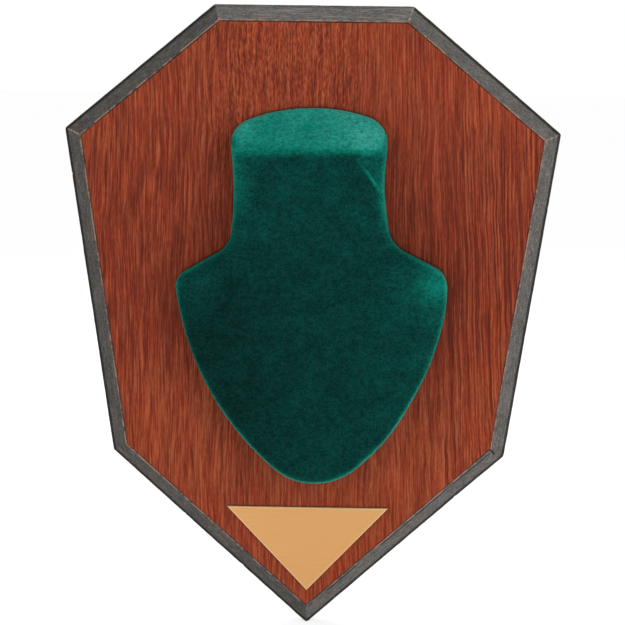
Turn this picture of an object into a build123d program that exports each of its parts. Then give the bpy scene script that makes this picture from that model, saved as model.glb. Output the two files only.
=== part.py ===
from build123d import *

import os

# An antler display plaque, in millimetres: a bevelled shield board, a velvet-covered form with a sloped
# top for the antlers' skull plate, a brass plate for engraving, and a ring hanger on the back.
#
# Frame: +X to the right seen from the front, +Z up, and the front faces -Y. The origin is on the wall
# plane, right behind the place where a wall hook carries the ring.
#
# Two words in the names: a depth is a distance in front of the wall plane (y = -depth), and a height is
# measured from the middle of the board's height.

# ---- Board ----
BOARD_HEIGHT = 304.8
BOARD_WIDTH = 241.3
BOARD_THICKNESS = 15.9
TOP_EDGE_WIDTH = 96.5
SIDE_CORNER_DROP = 60.5  # from the top edge down to the widest corners
LOWER_CORNER_WIDTH = 193.0
LOWER_CORNER_RISE = 86.0  # from the bottom point up to the lower corners
BEVEL = 8.5  # across and deep, so the bevel is at 45 degrees
BOARD_CORNER_RADIUS = 1.8
VENEER = 0.6

# ---- Velvet form ----
FORM_TOP = 103.5  # height of the neck's domed top
FORM_CROWN_RADIUS = 85.0
NECK_HALF_WIDTH = 38.6
NECK_CORNER_RADIUS = 12.0
WAIST_HALF_WIDTH = 35.8
WAIST_HEIGHT = 67.0
NECK_BASE_HALF_WIDTH = 39.0
NECK_BASE_HEIGHT = 36.5
SHOULDER_FILLET = 17.0
SHOULDER_HALF_WIDTH = 65.2
SHOULDER_HEIGHT = 22.6
SHOULDER_TIP_RADIUS = 8.0
SIDE_RADIUS = 138.0
FORM_SHARP_BOTTOM = -84.6  # height where the two sides would meet
FORM_BOTTOM_RADIUS = 30.0
SLOPE_EDGE_HEIGHT = 81.0  # height of the edge between the front and the sloped top
SLOPE_LIP = 5.0  # depth of the upright wall left above the board at the neck's top
BLOCK_THICKNESS = 19.0
PADDING = 3.0
VELVET = 1.4
HEM_WIDTH = 14.0
FORM_EDGE_RADIUS = 5.5
ROOF_RADIUS = 11.0  # round the edge between the front and the sloped top
FORM_TURN = 2.0  # degrees anticlockwise, seen from the front, about the middle of the neck's base

# ---- Staples in the hem ----
STAPLE_COUNT = 16
STAPLE_CROWN = 9.5
STAPLE_LEG = 6.0
STAPLE_WIRE_WIDTH = 1.2
STAPLE_WIRE_DEPTH = 0.5
STAPLE_INSET = 9.5  # from the form's edge to the middle of the crowns

# ---- Brass plate ----
PLATE_WIDTH = 79.4
PLATE_HEIGHT = 41.6
PLATE_TOP_HEIGHT = -92.2
PLATE_THICKNESS = 0.8
PLATE_EDGE_CHAMFER = 0.35
ADHESIVE_THICKNESS = 0.25
ADHESIVE_INSET = 1.5

# ---- Ring hanger ----
HANG_DROP = 40.0  # from the board's top edge down to where the hook carries the ring
STRAP_WIDTH = 14.0
STRAP_LENGTH = 33.0  # from the ring's axis down to the strap's end
STRAP_THICKNESS = 1.0
STRAP_END_RADIUS = 5.0
STRAP_SCREW_DROPS = (9.0, 27.0)  # from the ring's axis down to each screw
LOOP_CLEARANCE = 0.08
LOOP_OPENING = 0.6
RING_WIRE_RADIUS = 1.2
RING_BEND_RADIUS = 2.2
RING_SIDE_GAP = 0.6
RING_LEG = 8.0

# ---- Screws ----
FORM_SCREW_PLACES = ((0.0, 50.0), (-34.0, -6.0), (34.0, -6.0))  # across, height
FORM_SCREW_LENGTH = 31.75
FORM_SCREW_RADIUS = 2.1
FORM_SCREW_HEAD_RADIUS = 4.1
FORM_SCREW_HEAD_HEIGHT = 2.4
FORM_SCREW_TIP = 5.0
STRAP_SCREW_LENGTH = 12.7
STRAP_SCREW_RADIUS = 1.75
STRAP_SCREW_HEAD_RADIUS = 3.45
STRAP_SCREW_HEAD_HEIGHT = 2.0
STRAP_SCREW_TIP = 3.5
STRAP_HOLE_RADIUS = 1.9
SCREW_HOLE_CLEARANCE = 0.02
BOARD_HOLE_RADIUS = 2.3
FORM_SCREW_RECESS = (4.4, 1.6)  # span and depth of the cross recess
STRAP_SCREW_RECESS = (3.6, 1.3)
RECESS_SLOT = 0.28  # slot width, as a share of the recess's span
RECESS_TIP = 0.2  # radius at the recess's bottom, as a share of its span
PAN_HEAD_ROUNDING = 1.2

# ---- Wall bumpers ----
BUMPER_PLACES = ((-36.0, 134.0), (36.0, 134.0), (-78.0, -56.0), (78.0, -56.0))  # across, height
BUMPER_RADIUS = 6.35
BUMPER_FACE_RADIUS = 5.4
BUMPER_HEIGHT = 6.0
BUMPER_EDGE_RADIUS = 0.8

TOUCHING = 0.01  # the same place, or no slope at all, within this

# ---- Worked out from the dimensions above ----
MIDDLE_Z = HANG_DROP - BOARD_HEIGHT / 2
BOARD_BACK_DEPTH = BUMPER_HEIGHT
BOARD_FACE_DEPTH = BOARD_BACK_DEPTH + BOARD_THICKNESS
BLOCK_BACK_DEPTH = BOARD_FACE_DEPTH + VELVET
BLOCK_FRONT_DEPTH = BLOCK_BACK_DEPTH + BLOCK_THICKNESS
PADDING_FRONT_DEPTH = BLOCK_FRONT_DEPTH + PADDING
FORM_FRONT_DEPTH = PADDING_FRONT_DEPTH + VELVET
LOOP_RADIUS = RING_WIRE_RADIUS + LOOP_CLEARANCE
LOOP_OUTER_RADIUS = LOOP_RADIUS + STRAP_THICKNESS
RING_HALF_WIDTH = STRAP_WIDTH / 2 + RING_SIDE_GAP + RING_BEND_RADIUS
RING_AXIS_Z = -(RING_LEG + RING_HALF_WIDTH - RING_WIRE_RADIUS)
RING_AXIS_Y = -BOARD_BACK_DEPTH + LOOP_OUTER_RADIUS
TO_FRONT = (0, -1, 0)
ABOVE = (Align.CENTER, Align.CENTER, Align.MIN)  # a solid that stands on the plane Z = 0
BELOW = (Align.CENTER, Align.CENTER, Align.MAX)  # a solid that hangs from it


def at_depth(depth):
    """The plane at this depth, facing the front, with its origin at the middle of the board."""
    return Plane.XZ.offset(depth) * Pos(0, MIDDLE_Z)


def slab(outline, back, front):
    """A solid with this outline seen from the front, between two depths."""
    return extrude(at_depth(back) * outline, amount=front - back, dir=TO_FRONT)


def facing_wall(across, height, depth):
    """The place of a fastener whose head or face looks at the wall."""
    return Plane(origin=(across, -depth, MIDDLE_Z + height), x_dir=(1, 0, 0), z_dir=(0, 1, 0))


def mirrored_pair(edges):
    """The edges of a right half, and their mirror images on the left."""
    return [*edges, *[mirror(edge, about=Plane.YZ) for edge in edges]]


# ---- Board ----
def board_outline():
    """Seven straight sides: a flat top, sloping upper sides, long sides and a bottom point."""
    half_height = BOARD_HEIGHT / 2
    right = [
        (TOP_EDGE_WIDTH / 2, half_height),
        (BOARD_WIDTH / 2, half_height - SIDE_CORNER_DROP),
        (LOWER_CORNER_WIDTH / 2, LOWER_CORNER_RISE - half_height),
    ]
    left = [(-across, height) for across, height in reversed(right)]
    return Polygon(*right, (0, -half_height), *left, align=None)


def board_blank():
    """The whole board: a straight edge at the back, then the bevel up to the face."""
    outline = board_outline()
    bevel_start = BOARD_FACE_DEPTH - BEVEL
    foot = at_depth(bevel_start) * outline
    face = at_depth(BOARD_FACE_DEPTH) * offset(outline, -BEVEL, kind=Kind.INTERSECTION)
    sharp = slab(outline, BOARD_BACK_DEPTH, bevel_start) + loft([foot, face], ruled=True)
    rounded = fillet(outline.vertices(), BOARD_CORNER_RADIUS)
    return sharp & slab(rounded, BOARD_BACK_DEPTH, BOARD_FACE_DEPTH)


def board_layer(back, front):
    """The part of the drilled board between two depths."""
    whole = board_blank() - as_fixed(form_screw_holes()) - strap_screw_holes()
    return whole & slab(Rectangle(2 * BOARD_WIDTH, 2 * BOARD_HEIGHT), back, front)


# ---- Velvet form, built upright and then turned as it is fixed ----
def as_fixed(shape):
    """A piece of the upright form, turned the way the form sits on the board."""
    return shape.rotate(Axis((0, 0, MIDDLE_Z + NECK_BASE_HEIGHT), TO_FRONT), FORM_TURN)


def form_outline(inset=0.0):
    """Front outline of the form, drawn in by `inset`: domed neck, sloping shoulders, pointed bottom."""
    neck_corner_height = FORM_TOP - FORM_CROWN_RADIUS
    neck_corner_height += (FORM_CROWN_RADIUS**2 - NECK_HALF_WIDTH**2) ** 0.5
    neck_corner = (NECK_HALF_WIDTH, neck_corner_height)
    neck_base = (NECK_BASE_HALF_WIDTH, NECK_BASE_HEIGHT)
    shoulder_tip = (SHOULDER_HALF_WIDTH, SHOULDER_HEIGHT)
    bottom = (0, FORM_SHARP_BOTTOM)

    crown = ThreePointArc((-NECK_HALF_WIDTH, neck_corner_height), (0, FORM_TOP), neck_corner)
    waist = ThreePointArc(neck_corner, (WAIST_HALF_WIDTH, WAIST_HEIGHT), neck_base)
    shoulder = Line(neck_base, shoulder_tip)
    side = RadiusArc(shoulder_tip, bottom, SIDE_RADIUS)
    face = make_face([crown, *mirrored_pair([waist, shoulder, side])])
    for corner, radius in (
        (neck_corner, NECK_CORNER_RADIUS),
        (neck_base, SHOULDER_FILLET),
        (shoulder_tip, SHOULDER_TIP_RADIUS),
        (bottom, FORM_BOTTOM_RADIUS),
    ):
        face = fillet(vertices_at(face, corner), radius)
    return offset(face, -inset) if inset else face


def vertices_at(face, corner):
    """The vertices at this corner and at its mirror image."""
    across, height = corner
    places = [(-across, height), (across, height)]
    return [v for v in face.vertices() if any(v.distance(Vertex(*place)) < TOUCHING for place in places)]


def slope_plane(inset=0.0):
    """The plane of the sloped top, moved into the form by `inset`."""
    lip_depth = BOARD_FACE_DEPTH + SLOPE_LIP
    edge = Vector(0, -FORM_FRONT_DEPTH, MIDDLE_Z + SLOPE_EDGE_HEIGHT)
    lip = Vector(0, -lip_depth, MIDDLE_Z + FORM_TOP)
    up_slope = (lip - edge).normalized()
    outward = Vector(1, 0, 0).cross(up_slope)
    return Plane(origin=edge - outward * inset, x_dir=(1, 0, 0), z_dir=outward)


def form_body(inset, back, front):
    """The form drawn in by `inset` at its sides and slope, between two depths."""
    return split(slab(form_outline(inset), back, front), bisect_by=slope_plane(inset), keep=Keep.BOTTOM)


def padded_body(inset, back, front):
    """A form body rounded over from its front to its slope, and from both to its sides."""
    body = form_body(inset, back, front)
    body = fillet(forward_edges(body, shared=True), ROOF_RADIUS - inset)
    return fillet(forward_edges(body, shared=False), FORM_EDGE_RADIUS - inset)


def forward_edges(body, shared):
    """Edges of the faces that look forward: the ones two of them share, or the ones round them all."""
    faces = [face for face in body.faces() if face.normal_at().Y < -TOUCHING]
    edges = [edge for face in faces for edge in face.edges()]
    return [edge for edge in edges if (edges.count(edge) > 1) == shared]


def form_block():
    """Wood block that gives the form its shape and takes the screws and staples."""
    block = form_body(VELVET + PADDING, BLOCK_BACK_DEPTH, BLOCK_FRONT_DEPTH)
    return block - form_screw_holes() - velvet_staples()


def form_padding():
    """Foam wrapped over the block's front, slope and sides."""
    outside = padded_body(VELVET, BLOCK_BACK_DEPTH, PADDING_FRONT_DEPTH)
    return outside - form_body(VELVET + PADDING, BLOCK_BACK_DEPTH, BLOCK_FRONT_DEPTH)


def velvet_cover():
    """Velvet stretched over the padding, with its hem turned in behind the block."""
    outside = padded_body(0.0, BOARD_FACE_DEPTH, FORM_FRONT_DEPTH)
    inside = padded_body(VELVET, BLOCK_BACK_DEPTH, PADDING_FRONT_DEPTH)
    hem_opening = slab(form_outline(HEM_WIDTH), BOARD_FACE_DEPTH, BLOCK_BACK_DEPTH)
    return outside - inside - hem_opening - velvet_staples()


def staple():
    """One staple with its crown along X, its back at Z = 0 and its legs down -Z."""
    crown = Box(STAPLE_CROWN, STAPLE_WIRE_WIDTH, STAPLE_WIRE_DEPTH, align=BELOW)
    leg = Box(STAPLE_WIRE_DEPTH, STAPLE_WIRE_WIDTH, STAPLE_LEG, align=BELOW)
    leg_reach = (STAPLE_CROWN - STAPLE_WIRE_DEPTH) / 2
    return crown + Pos(-leg_reach, 0, 0) * leg + Pos(leg_reach, 0, 0) * leg


def velvet_staples():
    """Staples at even steps along the hem, their crowns pressed flush with it."""
    path = form_outline(STAPLE_INSET).wire()
    one = staple()
    staples = []
    for number in range(STAPLE_COUNT):
        along = (number + 0.5) / STAPLE_COUNT
        point, direction = path @ along, path % along
        place = facing_wall(point.X, point.Y, BOARD_FACE_DEPTH)
        place.x_dir = Vector(direction.X, 0, direction.Y)
        staples.append(place * one)
    return Compound(staples)


# ---- Screws ----
def cross_recess(span, depth):
    """The tool that cuts a cross recess into a screw head whose top is at Z = 0."""
    bar = Box(span, RECESS_SLOT * span, depth, align=BELOW)
    taper = Cone(RECESS_TIP * span, span / 2, depth, align=BELOW)
    return (bar + Rot(0, 0, 90) * bar) & taper


def turned(*profile):
    """A solid turned about Z from the points of its half profile."""
    return revolve(make_face(Plane.XZ * Polyline(*profile, close=True)), Axis.Z)


def form_screw(clearance=0.0):
    """Countersunk wood screw: head flush at Z = 0, shank down -Z. Clearance widens it for its hole."""
    head = FORM_SCREW_HEAD_RADIUS + clearance
    shank = FORM_SCREW_RADIUS + clearance
    shoulder = FORM_SCREW_LENGTH - FORM_SCREW_TIP
    return turned(
        (0, 0),
        (head, 0),
        (shank, -FORM_SCREW_HEAD_HEIGHT),
        (shank, -shoulder),
        (0, -FORM_SCREW_LENGTH),
    )


def form_screws():
    """The screws that hold the form, driven from the back of the board."""
    screw = form_screw() - cross_recess(*FORM_SCREW_RECESS)
    return Compound([facing_wall(*place, BOARD_BACK_DEPTH) * screw for place in FORM_SCREW_PLACES])


def form_screw_holes():
    """Holes for the form screws: countersunk and loose in the board, tight in the block."""
    loose = Cylinder(BOARD_HOLE_RADIUS, BOARD_THICKNESS + VELVET, align=BELOW)
    hole = form_screw(SCREW_HOLE_CLEARANCE) + loose
    return Compound([facing_wall(*place, BOARD_BACK_DEPTH) * hole for place in FORM_SCREW_PLACES])


def strap_screw_places():
    """Where the hanger's screws stand, with their heads on the strap."""
    middle_to_axis = RING_AXIS_Z - MIDDLE_Z
    heights = [middle_to_axis - drop for drop in STRAP_SCREW_DROPS]
    return [facing_wall(0, height, BOARD_BACK_DEPTH - STRAP_THICKNESS) for height in heights]


def strap_screw_shank(clearance=0.0):
    """The shank of a hanger screw, down -Z from under its head."""
    radius = STRAP_SCREW_RADIUS + clearance
    shoulder = STRAP_SCREW_LENGTH - STRAP_SCREW_TIP
    return turned((0, 0), (radius, 0), (radius, -shoulder), (0, -STRAP_SCREW_LENGTH))


def hanger_screws():
    """Pan-head screws that hold the strap on the board."""
    head = Cylinder(STRAP_SCREW_HEAD_RADIUS, STRAP_SCREW_HEAD_HEIGHT, align=ABOVE)
    head = fillet(head.edges().sort_by(Axis.Z)[-1], PAN_HEAD_ROUNDING)
    recess = Pos(0, 0, STRAP_SCREW_HEAD_HEIGHT) * cross_recess(*STRAP_SCREW_RECESS)
    screw = head + strap_screw_shank() - recess
    return Compound([place * screw for place in strap_screw_places()])


def strap_screw_holes():
    """The holes that the hanger's screws have cut in the board."""
    return Compound([place * strap_screw_shank(SCREW_HOLE_CLEARANCE) for place in strap_screw_places()])


# ---- Ring hanger ----
def hanger_strap():
    """Steel strap with a loop rolled at its top end around the ring's straight bar."""
    back_y = -BOARD_BACK_DEPTH
    tail = Pos(back_y, RING_AXIS_Z) * Rectangle(
        STRAP_THICKNESS, STRAP_LENGTH, align=(Align.MIN, Align.MAX)
    )
    loop = Pos(RING_AXIS_Y, RING_AXIS_Z) * (Circle(LOOP_OUTER_RADIUS) - Circle(LOOP_RADIUS))
    opening = Pos(back_y + STRAP_THICKNESS, RING_AXIS_Z) * Rectangle(
        LOOP_OPENING, LOOP_OUTER_RADIUS, align=(Align.MIN, Align.MAX)
    )
    strap = extrude(Plane.YZ * (tail + loop - opening), amount=STRAP_WIDTH / 2, both=True)
    end_corners = strap.edges().filter_by(Axis.Y).sort_by(Axis.Z)[:2]
    strap = fillet(end_corners, STRAP_END_RADIUS)
    for place in strap_screw_places():
        strap -= place * Cylinder(STRAP_HOLE_RADIUS, STRAP_THICKNESS, align=BELOW)
    return strap


def hanger_ring():
    """Wire ring: a straight bar through the loop, two legs and a round arch."""
    half = RING_HALF_WIDTH
    legs = Polyline((-half, RING_LEG), (-half, 0), (half, 0), (half, RING_LEG))
    arch = ThreePointArc((half, RING_LEG), (0, RING_LEG + half), (-half, RING_LEG))
    outline = make_face([legs, arch])
    outline = fillet(outline.vertices().sort_by(Axis.Y)[:2], RING_BEND_RADIUS)
    path = (Plane(origin=(0, RING_AXIS_Y, RING_AXIS_Z), x_dir=(1, 0, 0), z_dir=(0, -1, 0)) * outline).wire()
    section = Plane(origin=path @ 0, z_dir=path % 0) * Circle(RING_WIRE_RADIUS)
    return sweep(section, path=path, transition=Transition.RIGHT)


# ---- Plate and bumpers ----
def plate_outline():
    """A triangle with its long side up."""
    half = PLATE_WIDTH / 2
    top = PLATE_TOP_HEIGHT
    return Polygon((-half, top), (0, top - PLATE_HEIGHT), (half, top), align=None)


def engraving_plate():
    """Plain brass plate with a bright chamfer round its front."""
    back = BOARD_FACE_DEPTH + ADHESIVE_THICKNESS
    plate = slab(plate_outline(), back, back + PLATE_THICKNESS)
    return chamfer(plate.faces().sort_by(Axis.Y)[0].edges(), PLATE_EDGE_CHAMFER)


def plate_adhesive():
    """Double-sided adhesive sheet behind the plate."""
    outline = offset(plate_outline(), -ADHESIVE_INSET, kind=Kind.INTERSECTION)
    return slab(outline, BOARD_FACE_DEPTH, BOARD_FACE_DEPTH + ADHESIVE_THICKNESS)


def wall_bumpers():
    """Rubber bumpers that stand the board off the wall, clear of the hanger."""
    bumper = Cone(BUMPER_RADIUS, BUMPER_FACE_RADIUS, BUMPER_HEIGHT, align=ABOVE)
    bumper = fillet(bumper.edges().sort_by(Axis.Z)[-1], BUMPER_EDGE_RADIUS)
    return Compound([facing_wall(*place, BOARD_BACK_DEPTH) * bumper for place in BUMPER_PLACES])


def parts():
    """Every node's name and solid."""
    return {
        "core_board": board_layer(BOARD_BACK_DEPTH + VENEER, BOARD_FACE_DEPTH - VENEER),
        "face_veneer": board_layer(BOARD_FACE_DEPTH - VENEER, BOARD_FACE_DEPTH),
        "back_veneer": board_layer(BOARD_BACK_DEPTH, BOARD_BACK_DEPTH + VENEER),
        "form_block": as_fixed(form_block()),
        "form_padding": as_fixed(form_padding()),
        "velvet_cover": as_fixed(velvet_cover()),
        "velvet_staples": as_fixed(velvet_staples()),
        "form_screws": as_fixed(form_screws()),
        "engraving_plate": engraving_plate(),
        "plate_adhesive": plate_adhesive(),
        "hanger_strap": hanger_strap(),
        "hanger_ring": hanger_ring(),
        "hanger_screws": hanger_screws(),
        "wall_bumpers": wall_bumpers(),
    }


os.makedirs("parts", exist_ok=True)
for name, shape in parts().items():
    export_step(shape, f"parts/{name}.step")
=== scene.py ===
import math

import bmesh
import bpy
import numpy as np
from mathutils import Matrix, Vector, noise
from mathutils.bvhtree import BVHTree


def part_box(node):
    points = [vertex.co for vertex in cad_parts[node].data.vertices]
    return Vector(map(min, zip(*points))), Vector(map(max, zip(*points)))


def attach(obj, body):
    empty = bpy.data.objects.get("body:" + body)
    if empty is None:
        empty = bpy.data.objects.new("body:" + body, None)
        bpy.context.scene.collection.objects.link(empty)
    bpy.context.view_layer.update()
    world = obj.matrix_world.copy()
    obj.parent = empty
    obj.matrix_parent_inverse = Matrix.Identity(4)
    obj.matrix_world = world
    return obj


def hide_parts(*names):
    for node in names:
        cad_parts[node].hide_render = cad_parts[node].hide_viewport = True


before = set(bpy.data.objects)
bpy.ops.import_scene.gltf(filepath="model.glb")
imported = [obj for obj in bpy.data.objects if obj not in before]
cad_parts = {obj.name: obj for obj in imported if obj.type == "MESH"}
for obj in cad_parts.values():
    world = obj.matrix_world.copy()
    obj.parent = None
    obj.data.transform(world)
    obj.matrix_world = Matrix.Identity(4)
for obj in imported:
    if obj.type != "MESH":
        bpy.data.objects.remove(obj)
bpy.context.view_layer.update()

# An antler display plaque: a shield board with a painted bevel, a velvet rest for antlers and a brass plate.
# Lengths are in metres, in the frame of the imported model: +X is right seen from the front, +Z is up, the
# front faces -Y and the wall is the plane y = 0. Only the sizes given to Shader.noise and the places of the
# velvet's light spots are in millimetres.

MM = 0.001
BODY = "plaque"
SAME_POINT = 0.001 * MM  # points closer than this are one point
SAME_PLANE = 0.01 * MM
NO_AREA = 1e-9  # square metres: three points that span less than this lie on one line

# ---- Places worked out from the frame ----
CORE_LOW, CORE_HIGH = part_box("core_board")
FACE_LOW, FACE_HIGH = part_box("face_veneer")
FORM_LOW, FORM_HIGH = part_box("velvet_cover")
VENEER = FACE_HIGH.y - FACE_LOW.y
BEVEL = CORE_HIGH.z - FACE_HIGH.z + VENEER
BEVEL_START_Y = FACE_LOW.y + BEVEL
BOARD_MIDDLE = (CORE_LOW + CORE_HIGH) / 2
HEM_Y = FORM_HIGH.y

# Painted shade: an ambient occlusion node darkens the wood within this reach of the form and the plate.
CONTACT_SHADE_REACH = 2.4 * MM  # the wood is darker this close to the form and the brass plate

# ---- Painted edge of the board ----
EDGE_STEP = 0.7 * MM  # distance between the points of the milled edge
EDGE_SHARP_ANGLE = math.radians(24)
CORNER_RADIUS = 1.8 * MM
MILL_RELIEF = 0.10 * MM
CHIP_DEPTH = 0.35 * MM
MITRE_HIGHLIGHT_WIDTH = 1.7 * MM
LIFTED_END_HEIGHT = 0.3 * MM
LIFTED_END_LENGTH = 26 * MM
STRIP_WIDTH = BEVEL * math.sqrt(2)
LEVEL_SIDE = 0.9  # a side whose normal points up at least this much is the top side
STRIP_SPACING = 0.3  # sets the paint strips of neighbouring sides this far apart in the grain's noise
FAR = 1.0  # the distance from the lifted end on sides that don't touch it
# Painted shadow line at the lifted end: GAP_BOW bows it and GAP_FROM_FACE sets its place along the face.
GAP_BOW = 48.0  # the gap at the lifted end bows by this times the square of its distance from the face
GAP_FROM_FACE = 1.9 * MM  # the broken gap along the lifted side runs this far from the face

# ---- Velvet ----
VOXEL = 2.0 * MM
START_INSET = 0.8 * MM  # the cloth starts this much inside its final place, and pressure swells it back
SWELL_LIMIT = 4.0 * MM
CLOTH_FRAMES = 20
CLOTH_PRESSURE = 4.0
CLOTH_MASS = 0.3
CLOTH_QUALITY = 6
FRONT_PUFF = 0.9 * MM
SIDE_PUFF = 0.25 * MM
INWARD_LIMIT = -0.2 * MM
CLOTH_THICKNESS = 1.15 * MM
HEM_WIDTH = 14 * MM
FORM_TURN = math.radians(2.0)  # the form stands this far anticlockwise, seen from the front
FACES_WALL = 0.9  # a normal that points back at least this much is on the cover's back
CREASE_TOP = (22.2 * MM, 25.3 * MM)  # across the form, and below its top
CREASE_FOOT = (34.0 * MM, 42.0 * MM)
CREASE_BOW = 1.1 * MM
CREASE_HEIGHT = 0.8 * MM
CREASE_HALF_WIDTH = 0.8 * MM
# Where the cover is pulled out of true: (across, below the form's top), reach, (pull to the right, pull up).
PULLS = (
    ((-50 * MM, 74 * MM), 14 * MM, (-0.7 * MM, 1.3 * MM)),
    ((-64 * MM, 81 * MM), 6 * MM, (-0.3 * MM, 1.3 * MM)),
    ((38 * MM, 20 * MM), 11 * MM, (1.1 * MM, 0.0)),
    ((66 * MM, 100 * MM), 16 * MM, (1.2 * MM, -0.3 * MM)),
    ((56 * MM, 126 * MM), 20 * MM, (1.3 * MM, 0.0)),
    ((34 * MM, 158 * MM), 22 * MM, (1.5 * MM, -0.3 * MM)),
)
# Painted highlights on the velvet, in millimetres: (across, width), (below the form's top, height), how
# light.
SLOPE_SPOTS = (
    ((27, 9), (17, 8), 0.12),
    ((-29, 6), (9, 6), 0.09),
)
BODY_SPOTS = (
    ((60, 13), (85, 10), 0.17),
    ((-58, 13), (84, 9), 0.10),
    ((0, 25), (170, 14), 0.02),
)


def srgb(red, green, blue):
    """A shader colour from 8-bit screen values."""
    linear = []
    for value in (red, green, blue):
        share = value / 255
        linear.append(share / 12.92 if share <= 0.04045 else ((share + 0.055) / 1.055) ** 2.4)
    return (*linear, 1.0)


def smooth_step(value, low, high):
    """0 below low, 1 above high, and a smooth rise between them."""
    share = min(max((value - low) / (high - low), 0.0), 1.0)
    return share * share * (3 - 2 * share)


# ---- Materials ----
class Shader:
    """A node-based material, with short calls that each add one node and return its output."""

    def __init__(self, name):
        self.material = bpy.data.materials.new(name)
        self.material.use_nodes = True
        self.tree = self.material.node_tree
        self.surface = self.tree.nodes["Principled BSDF"]
        coordinates = self.tree.nodes.new("ShaderNodeTexCoord")
        self.place = coordinates.outputs["Object"]
        self.facing = coordinates.outputs["Normal"]

    def plug(self, socket, value):
        """Links an output into the socket, or writes a plain value there."""
        if isinstance(value, bpy.types.NodeSocket):
            self.tree.links.new(value, socket)
        else:
            socket.default_value = value

    def node(self, kind, *inputs, **settings):
        """A shader node with these settings and its first inputs filled in."""
        made = self.tree.nodes.new("ShaderNode" + kind)
        for key, value in settings.items():
            setattr(made, key, value)
        for socket, value in zip(made.inputs, inputs):
            self.plug(socket, value)
        return made

    def math(self, operation, first, second=0.0):
        return self.node("Math", first, second, operation=operation).outputs[0]

    def plus(self, first, second):
        return self.math("ADD", first, second)

    def minus(self, first, second):
        return self.math("SUBTRACT", first, second)

    def times(self, first, second):
        return self.math("MULTIPLY", first, second)

    def swing(self, value, reach):
        """A value from 0 to 1 as a change from minus half the reach to plus half of it."""
        return self.times(self.minus(value, 0.5), reach)

    def spread(self, value, factor):
        """The value moved away from one half by a factor."""
        return self.plus(0.5, self.swing(value, factor))

    def blend(self, share, first, second):
        """A number between two others."""
        return self.plus(first, self.times(share, self.minus(second, first)))

    def split(self, vector):
        return self.node("SeparateXYZ", vector).outputs

    def joined(self, x, y, z):
        return self.node("CombineXYZ", x, y, z).outputs[0]

    def attribute(self, name):
        return self.node("Attribute", attribute_name=name)

    def noise(self, size, vector=None, detail=2.0, roughness=0.5, seed=0.0):
        """Noise from 0 to 1 with features of this size along each axis, in millimetres."""
        place = self.place if vector is None else vector
        density = [1 / (part * MM) for part in size]
        scaled = self.node("VectorMath", place, density, operation="MULTIPLY")
        moved = self.node("VectorMath", scaled.outputs[0], (seed, 2 * seed, 3 * seed), operation="ADD")
        made = self.node("TexNoise")
        self.plug(made.inputs["Vector"], moved.outputs[0])
        self.plug(made.inputs["Scale"], 1.0)
        self.plug(made.inputs["Detail"], detail)
        self.plug(made.inputs["Roughness"], roughness)
        return made.outputs["Fac"]

    def step(self, value, low, high, start=0.0, end=1.0):
        """A smooth change from start to end as the value goes from low to high."""
        made = self.node("MapRange", value, low, high, start, end, interpolation_type="SMOOTHSTEP")
        return made.outputs["Result"]

    def mix(self, share, first, second, blend="MIX"):
        made = self.node("Mix", data_type="RGBA", blend_type=blend)
        self.plug(made.inputs["Factor"], share)
        self.plug(made.inputs[6], first)
        self.plug(made.inputs[7], second)
        return made.outputs[2]

    def openness(self, reach):
        """1 in the open, and less within this reach of another surface."""
        made = self.node("AmbientOcclusion", samples=8)
        self.plug(made.inputs["Distance"], reach)
        return made.outputs["AO"]

    def shade(self, colour, brightness):
        """The colour times a brightness."""
        made = self.node("VectorMath", colour, operation="SCALE")
        self.plug(made.inputs["Scale"], brightness)
        return made.outputs[0]

    def ramp(self, value, *stops):
        """A colour ramp through (position, colour) stops."""
        made = self.node("ValToRGB", value)
        elements = made.color_ramp.elements
        while len(elements) < len(stops):
            elements.new(0.5)
        for element, (position, colour) in zip(elements, stops):
            element.position = position
            element.color = colour
        return made.outputs["Color"]

    def bump(self, height, depth):
        """Relief of this depth."""
        made = self.node("Bump")
        self.plug(made.inputs["Strength"], 1.0)
        self.plug(made.inputs["Distance"], depth)
        self.plug(made.inputs["Height"], height)
        return made.outputs["Normal"]

    def finish(self, **inputs):
        """Fills in the surface's inputs by name and returns the material."""
        for key, value in inputs.items():
            self.plug(self.surface.inputs[key.replace("_", " ").title().replace("Ior", "IOR")], value)
        return self.material


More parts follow.
